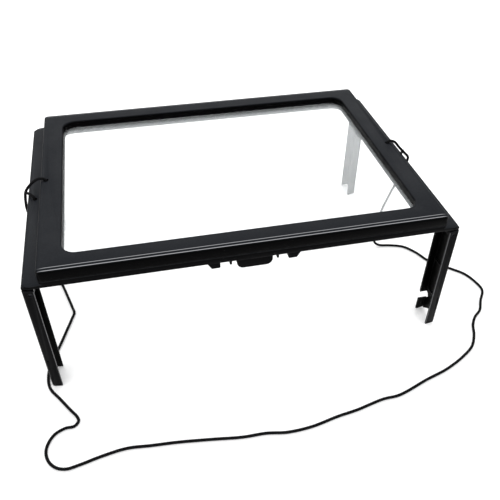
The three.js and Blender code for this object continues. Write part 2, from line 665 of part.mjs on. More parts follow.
// The cord's points were chosen by hand. It hangs from the left ledge, lies on the table in front of
// the frame in loose curves and climbs to the right ledge.
const LEFT_HANG = [
  [-155, -5, 93.2], [-155, -4, 80], [-154, -2, 55], [-152.4, 4, 28], [-151, 8.8, 10], [-149.8, 10.6, 4.4],
  [-149.2, 10.4, 2.5], [-148.2, 9.2, 1.45],
];
const ON_TABLE = [
  [-147.4, 7.6], [-146.4, 5], [-143, -7], [-138.2, -25], [-136.6, -32], [-138.6, -39], [-143.5, -54],
  [-148.5, -69], [-153.6, -82], [-155.8, -95], [-154.4, -108], [-147, -120], [-140, -131], [-135.4, -138],
  [-134.4, -142], [-137.4, -145.6], [-143.5, -146], [-151, -150], [-155.8, -160], [-154.6, -169],
  [-149.6, -175.6], [-143, -178.2], [-134, -177], [-120, -173.8], [-103, -171.4], [-87, -172.8],
  [-69, -174.2], [-45, -177.2], [-25, -180], [-8, -180.6], [6, -183], [24, -182.4], [45, -178.2],
  [60, -176], [82, -171.2], [95, -170.4], [122, -161.2], [140, -155.6], [158, -147], [171, -138],
  [178.6, -127], [183, -117], [189, -109], [197, -102.4], [203.4, -92], [211.4, -80], [210.6, -69],
  [206, -57], [196, -46.6], [183, -34.6], [175.4, -19], [167, -8.6], [153, -3.4],
];
const RIGHT_CLIMB = [
  [150.4, -3, 1.2], [147.6, -2.6, 1.4], [144.6, -1.9, 2.1], [141.4, -0.9, 4.4], [140.2, 0, 9],
  [140.8, 1, 16], [144, 3, 36], [149.5, 1, 60], [154, -3.5, 82], [155, -6, 93.2],
];
const tableZ = CORD_RADIUS + CORD_LIFT;
const neckRoute = [...LEFT_HANG, ...ON_TABLE.map(([x, y]) => [x, y, tableZ]), ...RIGHT_CLIMB];
add('neck_cord', cordTube(neckRoute, 80), cordBlack);

// Each end goes up outside the ledge, over the frame's edge and down through the hole in the bezel.
const holeRun = [[138.4, 0.2, 112], [137.3, 0, 110.7], [137.1, 0, 107.8], [137.1, 0, 102], [137.1, 0, 96.4]];
const TIES = {
  left: [
    [155, -4, 94.2], [155, 0, 97.2], [154.3, 3, 100.3], [151.6, 3.4, 104.2], [147.6, 3.2, 108],
    [143.4, 1.6, 111.4], [140.6, 0.8, 112.1], ...holeRun,
  ],
  right: [
    [154.9, -6.5, 94.2], [154.6, -7.6, 97.4], [153.9, -8, 100.4], [150.5, -6.5, 103.8], [146.5, -3.4, 107.8],
    [143.4, -1.2, 111.2], [140.6, 0, 112.1], ...holeRun,
  ],
};
const TAIL = [
  [153.2, 0.5, 101.2], [151.2, -1.8, 101.6], [149.2, -4.6, 101.7], [147.6, -6.6, 101], [147.1, -7, 98.8],
  [147.1, -7, 95.2],
];
const knotProfile = [[0, -1.6], [1.1, -1.2], [1.7, 0], [1.1, 1.2], [0, 1.6]];
const knotPlace = [holeRun[4][0], 0, holeRun[4][2] - 2];
const knot = turned(knotProfile, 10);
for (const [name, side] of [['left', -1], ['right', 1]]) {
  const toSide = (points) => points.map(([x, y, z]) => [side * x, y, z]);
  add(`cord_tie_${name}`, cordTube(toSide(TIES[name]), 24), cordBlack);
  add(`cord_tail_${name}`, cordTube(toSide(TAIL), 12), cordBlack);
  add(`cord_knot_${name}`, knot, cordBlack, [side * knotPlace[0], knotPlace[1], knotPlace[2]]);
}

export default magnifier;
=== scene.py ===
# %% [markdown]
# # A full-page magnifier on four legs
# The magnifier is a flat Fresnel sheet in a black moulded frame. It stands over a page on four legs
# that fold in under the long rims, has two lamp hoods and a battery drawer under the front rim, and
# a neck cord tied to both ends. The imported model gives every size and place; this file gives each
# piece its fine surface and its material. Everything is in metres, with +Z up.

# %% Load the frame
import math
import bmesh
import bpy
import numpy as np
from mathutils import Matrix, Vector


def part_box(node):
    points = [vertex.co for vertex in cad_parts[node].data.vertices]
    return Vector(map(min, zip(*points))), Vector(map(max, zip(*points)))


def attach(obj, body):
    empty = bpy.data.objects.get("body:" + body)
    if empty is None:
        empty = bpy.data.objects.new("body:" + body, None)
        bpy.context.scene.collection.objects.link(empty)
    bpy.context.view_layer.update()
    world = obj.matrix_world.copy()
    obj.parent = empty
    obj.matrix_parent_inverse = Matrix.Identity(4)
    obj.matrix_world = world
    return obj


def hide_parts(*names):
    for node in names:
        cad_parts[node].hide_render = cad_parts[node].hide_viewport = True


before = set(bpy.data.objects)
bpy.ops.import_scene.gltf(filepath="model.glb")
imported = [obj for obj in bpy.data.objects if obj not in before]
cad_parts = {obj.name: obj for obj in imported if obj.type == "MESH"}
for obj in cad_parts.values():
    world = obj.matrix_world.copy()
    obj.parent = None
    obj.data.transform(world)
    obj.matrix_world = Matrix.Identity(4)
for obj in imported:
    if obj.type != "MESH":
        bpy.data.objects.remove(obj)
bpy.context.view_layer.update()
MM = 0.001
print("nodes in the frame:", len(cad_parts))

# %% [markdown]
# ## The camera
# A camera is a position and three directions at right angles. We work the directions out from three
# angles that a photographer would name: how far it turns to the right of straight ahead (+Y), how
# far it looks down, and how far it is tilted. Then the directions become the columns of its matrix.

# %% Camera
EYE = Vector((-0.0729, -0.4144, 0.3635))
TURN, DOWN, TILT = (math.radians(angle) for angle in (14.0, 41.38, 1.09))
LENS_MM = 43.8
SHIFT = (-0.021, 0.044)

look = Vector((math.sin(TURN) * math.cos(DOWN), math.cos(TURN) * math.cos(DOWN), -math.sin(DOWN)))
level = Vector((math.cos(TURN), -math.sin(TURN), 0))
upward = level.cross(look)
right = level * math.cos(TILT) + upward * math.sin(TILT)
up = upward * math.cos(TILT) - level * math.sin(TILT)

camera = bpy.data.objects.new("camera", bpy.data.cameras.new("camera"))
bpy.context.scene.collection.objects.link(camera)
camera.data.lens = LENS_MM
camera.data.sensor_width = 36
camera.data.shift_x, camera.data.shift_y = SHIFT
camera.data.shift_x, camera.data.shift_y = SHIFT
camera.data.shift_x, camera.data.shift_y = SHIFT
for column, direction in enumerate((right, up, -look)):
    for row in range(3):
        camera.matrix_world[row][column] = direction[row]
camera.matrix_world.translation = EYE
bpy.context.scene.camera = camera
print("camera", round(EYE.length, 3), "m from the middle of the table")

# %% [markdown]
# ## Surfaces from arrays
# Most new pieces are grids: rows of points, each row a closed or an open line. numpy works out all
# the points at once, and one small function says which four points make each face.

# %% Grid surfaces
def grid_faces(rows, columns, closed=True):
    """Quads between neighbouring rows and columns: face (i, j) joins points (i, j), (i, j+1),
    (i+1, j+1) and (i+1, j). A closed grid's last column meets its first."""
    across = columns if closed else columns - 1
    i, j = np.meshgrid(np.arange(rows - 1), np.arange(across), indexing="ij")
    after = (j + 1) % columns
    corners = (i * columns + j, i * columns + after, (i + 1) * columns + after, (i + 1) * columns + j)
    return np.stack(corners, axis=-1).reshape(-1, 4)


def put_mesh(name, points, faces, extra_faces=(), smooth=True):
    """A new object at the origin with these points and faces; extra_faces may have any length."""
    mesh = bpy.data.meshes.new(name)
    mesh.from_pydata(points.reshape(-1, 3).tolist(), [], faces.tolist() + [list(f) for f in extra_faces])
    mesh.polygons.foreach_set("use_smooth", np.full(len(mesh.polygons), smooth))
    mesh.update()
    piece = bpy.data.objects.new(name, mesh)
    bpy.context.scene.collection.objects.link(piece)
    return piece


# %% [markdown]
# ## Materials from nodes
# A material here is one Principled shader with a few textures in front of it. Numbers that are the
# same all over go on the shader's own sockets. Everything that varies is read from the piece's own
# coordinates, so that the pattern travels with the piece when a leg folds or the drawer slides.

# %% Material helpers
def new_material(name, color, roughness, metallic=0.0, gloss=0.5):
    """A material with one Principled shader. Returns the material and its shader node."""
    material = bpy.data.materials.new(name)
    material.use_nodes = True
    shader = material.node_tree.nodes["Principled BSDF"]
    shader.inputs["Base Color"].default_value = (*color, 1)
    shader.inputs["Roughness"].default_value = roughness
    shader.inputs["Metallic"].default_value = metallic
    shader.inputs["Specular IOR Level"].default_value = gloss
    return material, shader


def place_node(material, kind, **values):
    """Adds a node and fills in its settings: a name in lower case is a setting of the node, any other
    name, with _ for a space, is one of its inputs."""
    node = material.node_tree.nodes.new(kind)
    for key, value in values.items():
        if key[0].islower():
            setattr(node, key, value)
        else:
            node.inputs[key.replace("_", " ")].default_value = value
    return node


def wire(material, start, end):
    """Joins an output to an input."""
    material.node_tree.links.new(start, end)
    return end


def coordinates(material, stretch=(1, 1, 1)):
    """The piece's own coordinates in metres, each axis multiplied."""
    source = place_node(material, "ShaderNodeTexCoord")
    mapping = place_node(material, "ShaderNodeMapping")
    mapping.inputs["Scale"].default_value = stretch
    wire(material, source.outputs["Object"], mapping.inputs["Vector"])
    return mapping.outputs["Vector"]


def speckle(material, size, detail=3.0, stretch=(1, 1, 1)):
    """Noise from 0 to 1 whose spots are about size metres across."""
    noise = place_node(material, "ShaderNodeTexNoise", Scale=1 / size, Detail=detail, Roughness=0.6)
    wire(material, coordinates(material, stretch), noise.inputs["Vector"])
    return noise.outputs["Fac"]


def remap(material, value, low, high, new_low, new_high):
    """Moves the range low..high to new_low..new_high, without going past its ends."""
    node = place_node(material, "ShaderNodeMapRange", clamp=True)
    for key, number in (("From Min", low), ("From Max", high), ("To Min", new_low), ("To Max", new_high)):
        node.inputs[key].default_value = number
    wire(material, value, node.inputs["Value"])
    return node.outputs["Result"]


def blend_colors(material, factor, first, second):
    """A colour between two: the first where factor is 0, the second where it is 1."""
    node = place_node(material, "ShaderNodeMix", data_type="RGBA", clamp_factor=True)
    wire(material, factor, node.inputs["Factor"])
    for socket, color in (("A", first), ("B", second)):
        target = [i for i in node.inputs if i.name == socket and i.type == "RGBA"][0]
        if isinstance(color, tuple):
            target.default_value = (*color, 1)
        else:
            wire(material, color, target)
    return [o for o in node.outputs if o.type == "RGBA"][0]


def arithmetic(material, operation, first, second):
    """One sum with two values, each a socket or a number."""
    node = place_node(material, "ShaderNodeMath", operation=operation, use_clamp=True)
    for socket, value in zip(node.inputs, (first, second)):
        if isinstance(value, (int, float)):
            socket.default_value = value
        else:
            wire(material, value, socket)
    return node.outputs["Value"]


def relief(material, shader, layers):
    """Bumps on top of each other. Each layer is a height from 0 to 1 and its depth in metres."""
    previous = None
    for height, depth in layers:
        bump = place_node(material, "ShaderNodeBump", Strength=1.0, Distance=depth)
        wire(material, height, bump.inputs["Height"])
        if previous is not None:
            wire(material, previous, bump.inputs["Normal"])
        previous = bump.outputs["Normal"]
    wire(material, previous, shader.inputs["Normal"])


# %% [markdown]
# ## Masks
# A mask is a value from 0 to 1 that says where a colour belongs. Three kinds are enough here. The
# first is 1 along the edges: the Bevel node gives a rounded normal, and near an edge it differs from
# the true one. The second is 1 between two distances from the middle of the magnifier. The magnifier
# is built about its middle, so one such mask serves both sides. The third is 1 where a piece faces up.

# %% Masks
EVERYWHERE = 1.0    # metres, further out than any piece


def edge_mask(material, radius, low, high):
    """1 along the edges and 0 on the flats: 1 minus the cosine between the rounded and true normal,
    which is low or less on a flat and high or more at an edge."""
    rounded = place_node(material, "ShaderNodeBevel", samples=6, Radius=radius)
    true = place_node(material, "ShaderNodeNewGeometry")
    likeness = place_node(material, "ShaderNodeVectorMath", operation="DOT_PRODUCT")
    wire(material, rounded.outputs["Normal"], likeness.inputs[0])
    wire(material, true.outputs["True Normal"], likeness.inputs[1])
    return remap(material, likeness.outputs["Value"], 1 - low, 1 - high, 0, 1)


def side_mask(material, axis, low, high, soft):
    """1 where the distance from the middle along an axis is between low and high, 0 elsewhere. The
    change takes the distance soft on each side of a limit."""
    parts = place_node(material, "ShaderNodeSeparateXYZ")
    wire(material, coordinates(material), parts.inputs["Vector"])
    node = place_node(material, "ShaderNodeMath", operation="ABSOLUTE")
    wire(material, parts.outputs[axis], node.inputs[0])
    rising = remap(material, node.outputs["Value"], low - soft, low + soft, 0, 1)
    falling = remap(material, node.outputs["Value"], high - soft, high + soft, 1, 0)
    return arithmetic(material, "MULTIPLY", rising, falling)


def upward_mask(material):
    """1 where the piece's own normal points up."""
    source = place_node(material, "ShaderNodeTexCoord")
    parts = place_node(material, "ShaderNodeSeparateXYZ")
    wire(material, source.outputs["Normal"], parts.inputs["Vector"])
    return remap(material, parts.outputs["Z"], 0.5, 0.98, 0, 1)


def all_of(material, *masks):
    """1 where every mask is 1: their product."""
    product = masks[0]
    for mask in masks[1:]:
        product = arithmetic(material, "MULTIPLY", product, mask)
    return product


# %% [markdown]
# ## Moulded black plastic
# The frame and the legs are injection moulded. The mould is spark eroded, which leaves a fine grain
# of about half a millimetre, and the walls sink a little as they cool, which leaves broad shallow
# waves. The edges are lighter, partly worn by handling and partly a painted highlight, and what faces
# up is lighter, partly dust and partly a painted sheen.

# %% Moulded plastic
GRAIN, GRAIN_DEPTH = 0.5 * MM, 0.02 * MM
SINK_MARKS, SINK_DEPTH = 24 * MM, 0.25 * MM
CLOUDS = 30 * MM
DUST_AND_SHEEN_SPOTS = 1.6 * MM
WEAR_AND_HIGHLIGHT_PATCHES = 6 * MM
EDGE_RADIUS = 0.8 * MM
EDGE_WEAR_AND_HIGHLIGHT = 0.03         # how much of the lighter edge colour an edge takes, as wear and as a painted highlight
EDGE_POLISH = 0.18       # how much smoother a fully lightened place is, at worn edges and painted highlight lines
PLASTIC_ROUGHNESS = 0.42
# The painted shade inside the legs' channels.
PAINTED_SHADE_BLACK = (0.0002, 0.0002, 0.0002)


def moulded_plastic(name, dark, light, dust_and_sheen, worn_and_highlight, gloss, painted_highlights, shade):
    """Black plastic whose colour runs from dark to light in faint clouds. On top it is lighter, partly
    dust and partly a painted sheen, and at the edges lighter, partly wear and partly a painted highlight.
    The polish argument gives a mask of painted highlight lines, and shade a mask of painted shade in
    deep black; both take the material."""
    material, shader = new_material(name, dark, PLASTIC_ROUGHNESS, gloss=gloss)
    clouds = speckle(material, CLOUDS)
    spots = remap(material, speckle(material, DUST_AND_SHEEN_SPOTS, 4.0), 0.3, 0.7, 0.75, 1)
    body = blend_colors(material, clouds, dark, light)
    # Dust and a painted sheen: faces that point up take the lighter top colour.
    body = blend_colors(material, all_of(material, upward_mask(material), spots), body, dust_and_sheen)
    # Painted shade: where the shade mask is 1 the colour is deep black.
    body = blend_colors(material, shade(material), body, PAINTED_SHADE_BLACK)
    # Edges and highlight lines take the lighter colour: edges partly as wear and partly as a painted
    # highlight, the lines as a painted highlight.
    patchy = remap(material, speckle(material, WEAR_AND_HIGHLIGHT_PATCHES), 0.35, 0.6, 0.45, 1)
    edges = all_of(material, edge_mask(material, EDGE_RADIUS, 0.02, 0.1), patchy, EDGE_WEAR_AND_HIGHLIGHT)
    # The painted highlight lines join the lighter edges.
    bright = arithmetic(material, "MAXIMUM", edges, painted_highlights(material))
    wire(material, blend_colors(material, bright, body, worn_and_highlight), shader.inputs["Base Color"])
    uneven = remap(material, clouds, 0.35, 0.65, PLASTIC_ROUGHNESS - 0.05, PLASTIC_ROUGHNESS + 0.06)
    smoother = arithmetic(material, "MULTIPLY", bright, EDGE_POLISH)
    wire(material, arithmetic(material, "SUBTRACT", uneven, smoother), shader.inputs["Roughness"])
    waves = speckle(material, SINK_MARKS, 1.0)
    grain = speckle(material, GRAIN, 2.0)
    relief(material, shader, [(waves, SINK_DEPTH), (grain, GRAIN_DEPTH)])
    return material


# %% [markdown]
# ## Painted highlight lines and painted shade
# Two fine painted highlight lines run along the long rims, one on the flat top and one where the
# rounding starts. The inner edge of each leg's outer flange gets a painted highlight too. The inside of
# a leg's channel is painted deep black, as shade. All of these are bands of distances, measured from the
# imported sizes.

# %% Lines and channels
RIM = Vector(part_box("top_bezel")[1])
LEG_LOW, LEG_HIGH = (Vector(corner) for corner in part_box("leg_front_right"))
# Where the two painted highlight lines on the rims lie.
FAINT_LINE = (3.7 * MM, 3.35 * MM)       # from the rim's outer face: where the line starts and ends
STRONG_LINE = (1.35 * MM, 1 * MM)
FAINTNESS = 0.75
FLANGE_EDGE = 0.3 * MM
FLANGE_THICKNESS = 0.6 * MM
# How bright the painted highlight on a flange edge is.
FLANGE_HIGHLIGHT = 0.22
CHANNEL_WALL = 1.2 * MM


def rim_lines(material):
    """The two painted highlight lines along the long rims. They fade out at the rims' ends."""
    faint = side_mask(material, "Y", RIM.y - FAINT_LINE[0], RIM.y - FAINT_LINE[1], 0.12 * MM)
    strong = side_mask(material, "Y", RIM.y - STRONG_LINE[0], RIM.y - STRONG_LINE[1], 0.15 * MM)
    lines = arithmetic(material, "MAXIMUM", arithmetic(material, "MULTIPLY", faint, FAINTNESS), strong)
    above = side_mask(material, "Z", RIM.z - 2 * MM, EVERYWHERE, 0.1 * MM)
    ends = side_mask(material, "X", -EVERYWHERE, RIM.x - 3 * MM, 2 * MM)
    return all_of(material, lines, above, ends)


def flange_line(material):
    """A painted highlight along the inner edge of each leg's outer flange."""
    edge = side_mask(material, "X", LEG_LOW.x - 1 * MM, LEG_LOW.x + FLANGE_EDGE, 0.1 * MM)
    flange = side_mask(material, "Y", -LEG_LOW.y - FLANGE_THICKNESS, EVERYWHERE, 0.2 * MM)
    return all_of(material, edge, flange, FLANGE_HIGHLIGHT)


def channel_shade(material):
    """1 inside the channel of a leg, between its two flanges: where painted shade goes."""
    between = side_mask(material, "Y", -LEG_HIGH.y + CHANNEL_WALL, -LEG_LOW.y - CHANNEL_WALL, 0.2 * MM)
    inner = side_mask(material, "X", LEG_LOW.x - 1 * MM, LEG_HIGH.x - 1 * MM, 0.2 * MM)
    below = side_mask(material, "Z", -EVERYWHERE, LEG_HIGH.z - 2 * MM, 1 * MM)
    return all_of(material, between, inner, below)


def nowhere(material):
    """A mask of zeros: no distance is negative."""
    return side_mask(material, "Z", -2 * EVERYWHERE, -EVERYWHERE, 0.1 * MM)


# %% [markdown]
# The bezel, the lower parts and the legs have blacks that differ a little; the bezel's is the darkest,
# as painted shade on its front face. Each is given as its dark and light cloud colour, its colour on top
# (dust and a painted sheen) and its colour at the edges and highlight lines (wear and a painted highlight).

# %% The three plastics
# The lighter colour of worn edges, which also paints the highlight lines.
WORN_AND_HIGHLIGHT = (0.42, 0.425, 0.44)
# The bezel's darkest black is painted shade for its front face.
BEZEL = [(0.0004, 0.0004, 0.0005), (0.0008, 0.0008, 0.001), (0.0112, 0.0126, 0.0154), WORN_AND_HIGHLIGHT]
SHELL = [(0.0008, 0.0008, 0.001), (0.0014, 0.0014, 0.0018), (0.013, 0.0145, 0.0175), WORN_AND_HIGHLIGHT]
LEG = [(0.0016, 0.0016, 0.0019), (0.0032, 0.0032, 0.0037), (0.0085, 0.0092, 0.0108), WORN_AND_HIGHLIGHT]
bezel_plastic = moulded_plastic("bezel_plastic", *BEZEL, 0.02, rim_lines, nowhere)
frame_plastic = moulded_plastic("frame_plastic", *SHELL, 0.03, nowhere, nowhere)
leg_plastic = moulded_plastic("leg_plastic", *LEG, 0.04, flange_line, channel_shade)
print("moulded plastics:", bezel_plastic.name, frame_plastic.name, leg_plastic.name)

# %% [markdown]
# ## Metals, resin and the circuit board
# The small parts inside are stamped steel, nickel, solder mask and clear resin. Each gets the mark
# that its making leaves: fine lines where a sheet was rolled, specks of flux on the board, and
# small bubbles and a warm tint in the lamps' resin.

# %% Small materials
def rolled_metal(name, color, tarnish, roughness, lines):
    """Metal with fine lines across it and darker clouds of tarnish."""
    material, shader = new_material(name, color, roughness, metallic=1.0)
    clouds = remap(material, speckle(material, 3 * MM), 0.35, 0.65, 0, 1)
    wire(material, blend_colors(material, clouds, color, tarnish), shader.inputs["Base Color"])
    streaks = speckle(material, lines, 2.0, (1, 0.06, 1))
    drawn = remap(material, streaks, 0.3, 0.7, roughness - 0.08, roughness + 0.12)
    wire(material, drawn, shader.inputs["Roughness"])
    relief(material, shader, [(streaks, 0.01 * MM)])
    return material


nickel = rolled_metal("nickel_plate", (0.62, 0.6, 0.56), (0.42, 0.4, 0.36), 0.3, 0.3 * MM)
screw_steel = rolled_metal("blackened_steel", (0.035, 0.036, 0.04), (0.015, 0.015, 0.017), 0.42, 0.2 * MM)
switch_steel = rolled_metal("switch_steel", (0.35, 0.35, 0.36), (0.2, 0.2, 0.2), 0.35, 0.25 * MM)


def solder_mask():
    """Green lacquer over copper tracks: stripes show where the copper lies under it."""
    material, shader = new_material("solder_mask", (0.02, 0.13, 0.06), 0.45)
    tracks = place_node(material, "ShaderNodeTexWave", Scale=90.0, Distortion=3.0, Detail=1.0)
    wire(material, coordinates(material, (1, 2, 1)), tracks.inputs["Vector"])
    copper = remap(material, tracks.outputs["Fac"], 0.6, 0.7, 0, 1)
    lacquer = blend_colors(material, copper, (0.016, 0.11, 0.05), (0.04, 0.2, 0.09))
    wire(material, lacquer, shader.inputs["Base Color"])
    flux = remap(material, speckle(material, 1 * MM), 0.3, 0.7, 0.38, 0.52)
    wire(material, flux, shader.inputs["Roughness"])
    relief(material, shader, [(copper, 0.03 * MM)])
    return material


def lamp_resin():
    """Clear epoxy, a little warm, with small bubbles."""
    material, shader = new_material("lamp_resin", (0.85, 0.84, 0.76), 0.12)
    shader.inputs["Coat Weight"].default_value = 0.4
    bubbles = remap(material, speckle(material, 0.4 * MM), 0.6, 0.75, 0, 1)
    tint = blend_colors(material, bubbles, (0.85, 0.84, 0.76), (0.7, 0.68, 0.55))
    wire(material, tint, shader.inputs["Base Color"])
    relief(material, shader, [(bubbles, 0.02 * MM)])
    return material


board_green, resin = solder_mask(), lamp_resin()
print("small materials:", [m.name for m in (nickel, screw_steel, switch_steel, board_green, resin)])

# %% [markdown]
# ## Clear acrylic
# The lens is pressed from clear acrylic. Light goes straight through most of it, so the sheet is
# mostly see-through, with a faint cool tint, and it shines where a lamp is mirrored. A little dust
# and fine wiping marks make the surface visible.

# %% Acrylic
acrylic, acrylic_shader = new_material("clear_acrylic", (0.93, 0.95, 0.96), 0.08, gloss=0.6)
wipes = speckle(acrylic, 4 * MM, 3.0, (1, 0.15, 1))
wire(acrylic, remap(acrylic, wipes, 0.35, 0.7, 0.05, 0.16), acrylic_shader.inputs["Roughness"])
dust = remap(acrylic, speckle(acrylic, 0.7 * MM), 0.66, 0.74, 0, 1)
dusty_sheet = blend_colors(acrylic, dust, (0.9, 0.94, 0.95), (0.98, 0.97, 0.94))
wire(acrylic, dusty_sheet, acrylic_shader.inputs["Base Color"])
acrylic_shader.inputs["Alpha"].default_value = 0.16
print("clear acrylic lets", 1 - acrylic_shader.inputs["Alpha"].default_value, "of the light through")

# %% [markdown]
# ## Eased mouldings
# No moulded edge is perfectly sharp: the cutter that made the mould had a radius. We take a copy of
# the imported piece, merge its loose triangles, clear the lines between flat ones, and let a Bevel
# modifier round every edge by a few tenths of a millimetre. The first piece stays as it is.

# %% Eased copies
def eased(node, width, material, body="frame"):
    """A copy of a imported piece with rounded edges, which is shown in its place."""
    form = bmesh.new()
    form.from_mesh(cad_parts[node].data)
    bmesh.ops.remove_doubles(form, verts=form.verts, dist=1e-6)
    bmesh.ops.dissolve_limit(
        form, angle_limit=math.radians(1), verts=form.verts, edges=form.edges, use_dissolve_boundaries=False
    )
    mesh = bpy.data.meshes.new(f"{node}_eased")
    form.to_mesh(mesh)
    form.free()
    mesh.polygons.foreach_set("use_smooth", np.ones(len(mesh.polygons), bool))
    mesh.materials.clear()
    mesh.materials.append(material)
    piece = bpy.data.objects.new(f"{node}_eased", mesh)
    bpy.context.scene.collection.objects.link(piece)
    rounding = piece.modifiers.new("rounding", "BEVEL")
    rounding.width = width
    rounding.segments = 2
    rounding.limit_method = "ANGLE"
    rounding.angle_limit = math.radians(28)
    rounding.harden_normals = True
    rounding.miter_outer = "MITER_ARC"
    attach(piece, body)
    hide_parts(node)
    return piece


eased("top_bezel", 0.35 * MM, bezel_plastic)
eased("bottom_shell", 0.35 * MM, frame_plastic)
for node in ("lamp_hood_left", "lamp_hood_right", "battery_housing"):
    eased(node, 0.25 * MM, frame_plastic)
eased("battery_drawer", 0.25 * MM, frame_plastic, "battery_drawer")
eased("switch_knob", 0.2 * MM, leg_plastic, "switch_knob")
for corner in ("front_left", "front_right", "back_left", "back_right"):
    eased(f"leg_{corner}", 0.3 * MM, leg_plastic, f"leg_{corner}")

plain_nodes = {
    "shell_screw_": screw_steel, "hinge_pin_": screw_steel, "coin_cell_": nickel, "contact_": nickel,
    "circuit_board": board_green, "resistor_": leg_plastic, "switch_case": switch_steel, "led_": resin,
}
for node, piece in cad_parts.items():
    for start, material in plain_nodes.items():
        if node.startswith(start):
            piece.data.materials.clear()
            piece.data.materials.append(material)

# %% [markdown]
# ## The Fresnel lens
# A Fresnel lens is a thick lens cut into rings and laid flat: each ring keeps the slope that the
# thick lens has there, so the rings get steeper towards the rim. We go round the middle of the sheet
# in rays. Along a ray the underside falls with the ring's slope and then jumps back, and at the
# sheet's edge the ray stops. The border that lies on the frame stays flat.

# %% Fresnel sheet
SHEET_LOW, SHEET_HIGH = (Vector(corner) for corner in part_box("fresnel_lens"))
HALF_LENGTH, HALF_WIDTH = SHEET_HIGH.x, SHEET_HIGH.y
RING_PITCH = 1.25 * MM
RING_DEPTH = 0.16 * MM
DEEPEST_RING = 0.42 * MM
FLAT_BORDER = 4.5 * MM
RAYS = 176


def edge_distance(angle):
    """How far the sheet's outline is from the middle: the nearer of a / |cos| and b / |sin|."""
    across = HALF_LENGTH / np.maximum(np.abs(np.cos(angle)), 1e-9)
    along = HALF_WIDTH / np.maximum(np.abs(np.sin(angle)), 1e-9)
    return np.minimum(across, along)


def fresnel_sheet():
    """A point on the underside at distance r is at the sheet's bottom plus d(r) s, where s runs from 1
    to 0 across each ring and the depth d grows in step with r. The last rings close the sheet over
    its edge and its flat top."""
    diagonal = math.atan2(HALF_WIDTH, HALF_LENGTH)
    corners = np.array([diagonal, math.pi - diagonal, math.pi + diagonal, 2 * math.pi - diagonal])
    angle = np.union1d(np.linspace(0, 2 * np.pi, RAYS, endpoint=False), corners)
    reach = edge_distance(angle)
    count = int(reach.max() / RING_PITCH) + 1
    starts = np.repeat(np.arange(count + 1) * RING_PITCH, 2)[1:]
    saw = np.tile([0.0, 1.0], count + 1)[1:]
    radius = np.minimum(starts[:, None], reach[None, :])
    x, y = radius * np.cos(angle), radius * np.sin(angle)
    window = (np.abs(x) < HALF_LENGTH - FLAT_BORDER) & (np.abs(y) < HALF_WIDTH - FLAT_BORDER)
    depth = RING_DEPTH + (DEEPEST_RING - RING_DEPTH) * radius / reach.max()
    z = SHEET_LOW.z + np.where(window, depth * (1 - saw[:, None]), 0)
    top = np.full((2, len(angle)), SHEET_HIGH.z)
    x = np.vstack([x, reach * np.cos(angle), 0 * reach])
    y = np.vstack([y, reach * np.sin(angle), 0 * reach])
    z = np.vstack([z, top])
    points = np.stack([x, y, z], axis=-1)
    sheet = put_mesh("fresnel_sheet", points, grid_faces(len(points), len(angle))[:, ::-1], smooth=False)
    form = bmesh.new()
    form.from_mesh(sheet.data)
    bmesh.ops.remove_doubles(form, verts=form.verts, dist=1e-6)
    bmesh.ops.dissolve_degenerate(form, edges=form.edges, dist=1e-6)
    bmesh.ops.recalc_face_normals(form, faces=form.faces)
    form.to_mesh(sheet.data)
    form.free()
    return sheet


lens = fresnel_sheet()
lens.data.materials.append(acrylic)
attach(lens, "frame")
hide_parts("fresnel_lens")
print("lens faces", len(lens.data.polygons))

# %% [markdown]
# ## The neck cord
# The cord is thin, limp and braided. It leaves the frame at the left, hangs to the table, lies there
# in loose curves and goes back up at the right. Its middle line is a smooth curve through the same
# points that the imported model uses, so both lie in the same place.

# %% Cord route
CORD_DIAMETER = 2.2 * MM
CORD_STEP, TAIL_STEP = 0.6 * MM, 0.5 * MM
TABLE_Z = CORD_DIAMETER / 2 / MM + 0.05
HOLE_RUN = [(138.4, 0.2, 112), (137.3, 0, 110.7), (137.1, 0, 107.8), (137.1, 0, 102), (137.1, 0, 96.4)]
TIE_LEFT = [
    (155, -4, 94.2), (155, 0, 97.2), (154.3, 3, 100.3), (151.6, 3.4, 104.2), (147.6, 3.2, 108),
    (143.4, 1.6, 111.4), (140.6, 0.8, 112.1), *HOLE_RUN,
]
TIE_RIGHT = [
    (154.9, -6.5, 94.2), (154.6, -7.6, 97.4), (153.9, -8, 100.4), (150.5, -6.5, 103.8), (146.5, -3.4, 107.8),
    (143.4, -1.2, 111.2), (140.6, 0, 112.1), *HOLE_RUN,
]
TAIL = [
    (153.2, 0.5, 101.2), (151.2, -1.8, 101.6), (149.2, -4.6, 101.7), (147.6, -6.6, 101), (147.1, -7, 98.8),
    (147.1, -7, 95.2),
]
LEFT_HANG = [
    (-155, -5, 93.2), (-155, -4, 80), (-154, -2, 55), (-152.4, 4, 28), (-151, 8.8, 10), (-149.8, 10.6, 4.4),
    (-149.2, 10.4, 2.5), (-148.2, 9.2, 1.45),
]
ON_TABLE = [
    (-147.4, 7.6), (-146.4, 5), (-143, -7), (-138.2, -25), (-136.6, -32), (-138.6, -39), (-143.5, -54),
    (-148.5, -69), (-153.6, -82), (-155.8, -95), (-154.4, -108), (-147, -120), (-140, -131), (-135.4, -138),
    (-134.4, -142), (-137.4, -145.6), (-143.5, -146), (-151, -150), (-155.8, -160), (-154.6, -169),
    (-149.6, -175.6), (-143, -178.2), (-134, -177), (-120, -173.8), (-103, -171.4), (-87, -172.8),
    (-69, -174.2), (-45, -177.2), (-25, -180), (-8, -180.6), (6, -183), (24, -182.4), (45, -178.2),
    (60, -176), (82, -171.2), (95, -170.4), (122, -161.2), (140, -155.6), (158, -147), (171, -138),
    (178.6, -127), (183, -117), (189, -109), (197, -102.4), (203.4, -92), (211.4, -80), (210.6, -69),
    (206, -57), (196, -46.6), (183, -34.6), (175.4, -19), (167, -8.6), (153, -3.4),
]
